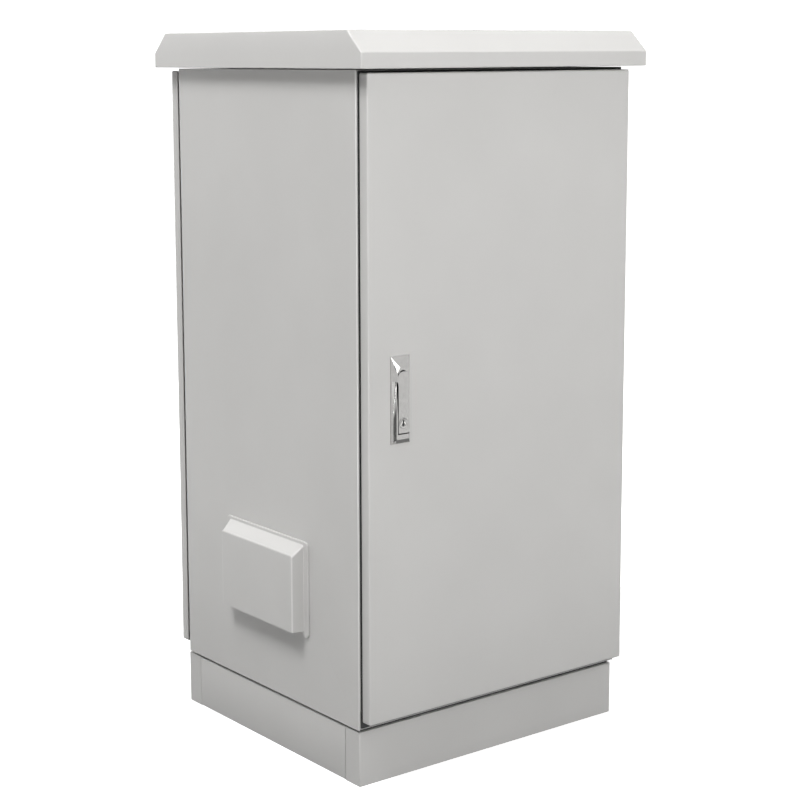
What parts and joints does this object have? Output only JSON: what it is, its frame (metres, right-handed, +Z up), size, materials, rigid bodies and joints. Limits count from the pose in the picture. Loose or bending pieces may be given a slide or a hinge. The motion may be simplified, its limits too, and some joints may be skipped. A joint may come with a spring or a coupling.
{
  "type": "outdoor rack cabinet",
  "caption": "Floor-standing outdoor sheet-metal rack cabinet with overhanging roof, plinth, hinged pan doors, swing-handle rod lock, rain-hooded vents and 19-inch rails.",
  "frame": {"origin": "centre of the plinth's underside, on the floor", "axes": "+Z up, -Y out of the front door (the one with the swing handle), +X towards its hinges"},
  "size_m": [0.652, 0.636, 1.276],
  "materials": {
    "powder_coat": "light grey fine-texture powder coat, satin",
    "galvanised_sheet": "galvanised sheet steel",
    "chromed_casting": "chromed zinc die casting",
    "bright_steel": "bright zinc-plated steel",
    "black_rubber": "black EPDM rubber",
    "gasket_foam": "foamed-in dark grey polyurethane",
    "black_plastic": "black moulded plastic",
    "filter_fleece": "white filter fleece"
  },
  "bodies": {
    "cabinet": {"plinth_front": "powder_coat", "plinth_rear": "powder_coat", "plinth_left": "powder_coat", "plinth_right": "powder_coat", "floor_pan": "powder_coat", "top_pan": "powder_coat", "side_panel_left": "powder_coat", "side_panel_right": "powder_coat", "front_frame": "powder_coat", "rear_frame": "powder_coat", "roof_cap": "powder_coat", "inlet_hood": "powder_coat", "outlet_hood": "powder_coat", "roof_bracket_left": "galvanised_sheet", "roof_bracket_right": "galvanised_sheet", "rack_rail_front_left": "galvanised_sheet", "rack_rail_front_right": "galvanised_sheet", "rack_rail_rear_left": "galvanised_sheet", "rack_rail_rear_right": "galvanised_sheet", "depth_rail_lower_left": "galvanised_sheet", "depth_rail_lower_right": "galvanised_sheet", "depth_rail_upper_left": "galvanised_sheet", "depth_rail_upper_right": "galvanised_sheet", "front_hinge_lower_body_half": "galvanised_sheet", "front_hinge_upper_body_half": "galvanised_sheet", "rear_hinge_lower_body_half": "galvanised_sheet", "rear_hinge_upper_body_half": "galvanised_sheet", "plinth_seal": "black_rubber", "cable_grommet_left": "black_rubber", "cable_grommet_right": "black_rubber", "inlet_filter_frame": "black_plastic", "outlet_filter_frame": "black_plastic", "fan_housing": "black_plastic", "inlet_filter_mat": "filter_fleece", "outlet_filter_mat": "filter_fleece"},
    "front_door": {"front_door": "powder_coat", "front_door_gasket": "gasket_foam", "handle_base": "chromed_casting", "gear_cover": "galvanised_sheet", "rod_guide_upper": "galvanised_sheet", "rod_guide_lower": "galvanised_sheet", "front_hinge_lower_door_half": "galvanised_sheet", "front_hinge_upper_door_half": "galvanised_sheet"},
    "handle": {"handle_hub": "chromed_casting", "lever_pin": "bright_steel", "spindle": "bright_steel", "pinion": "bright_steel"},
    "lever": {"lever": "chromed_casting", "lock_barrel": "chromed_casting"},
    "key": {"lock_cylinder": "chromed_casting"},
    "rod_upper": {"rod_upper": "bright_steel"},
    "rod_lower": {"rod_lower": "bright_steel"},
    "rear_door": {"rear_door": "powder_coat", "rear_door_gasket": "gasket_foam", "rear_hinge_lower_door_half": "galvanised_sheet", "rear_hinge_upper_door_half": "galvanised_sheet"},
    "rear_lock_lower": {"rear_lock_lower": "chromed_casting"},
    "rear_lock_upper": {"rear_lock_upper": "chromed_casting"},
    "fan_rotor": {"fan_rotor": "black_plastic"}
  },
  "joints": [
    {"name": "front_door_swing", "type": "hinge", "parent": "cabinet", "child": "front_door", "pos_m": [0.288, -0.2915, 0.6], "axis": [0, 0, 1], "range_deg": [0, 115]},
    {"name": "handle_turn", "type": "hinge", "parent": "front_door", "child": "handle", "pos_m": [-0.23, -0.3, 0.708], "axis": [0, -1, 0], "range_deg": [0, 90]},
    {"name": "lever_lift", "type": "hinge", "parent": "handle", "child": "lever", "pos_m": [-0.23, -0.3073, 0.716], "axis": [-1, 0, 0], "range_deg": [0, 40]},
    {"name": "key_turn", "type": "hinge", "parent": "lever", "child": "key", "pos_m": [-0.23, -0.31, 0.631], "axis": [0, 1, 0], "range_deg": [0, 90]},
    {"name": "rod_upper_slide", "type": "slide", "parent": "front_door", "child": "rod_upper", "axis": [0, 0, -1], "range_m": [0, 0.019]},
    {"name": "rod_lower_slide", "type": "slide", "parent": "front_door", "child": "rod_lower", "axis": [0, 0, 1], "range_m": [0, 0.019]},
    {"name": "rear_door_swing", "type": "hinge", "parent": "cabinet", "child": "rear_door", "pos_m": [0.288, 0.2915, 0.6], "axis": [0, 0, -1], "range_deg": [0, 115]},
    {"name": "rear_lock_lower_turn", "type": "hinge", "parent": "rear_door", "child": "rear_lock_lower", "pos_m": [-0.23, 0.3, 0.386], "axis": [0, 1, 0], "range_deg": [0, 90]},
    {"name": "rear_lock_upper_turn", "type": "hinge", "parent": "rear_door", "child": "rear_lock_upper", "pos_m": [-0.23, 0.3, 0.9375], "axis": [0, 1, 0], "range_deg": [0, 90]},
    {"name": "fan_spin", "type": "hinge", "parent": "cabinet", "child": "fan_rotor", "pos_m": [-0.262, -0.0055, 0.314], "axis": [1, 0, 0], "continuous": true}
  ],
  "couplings": [
    {"joint": "rod_upper_slide", "follows": "handle_turn", "m_per_rad": 0.012},
    {"joint": "rod_lower_slide", "follows": "handle_turn", "m_per_rad": 0.012}
  ]
}
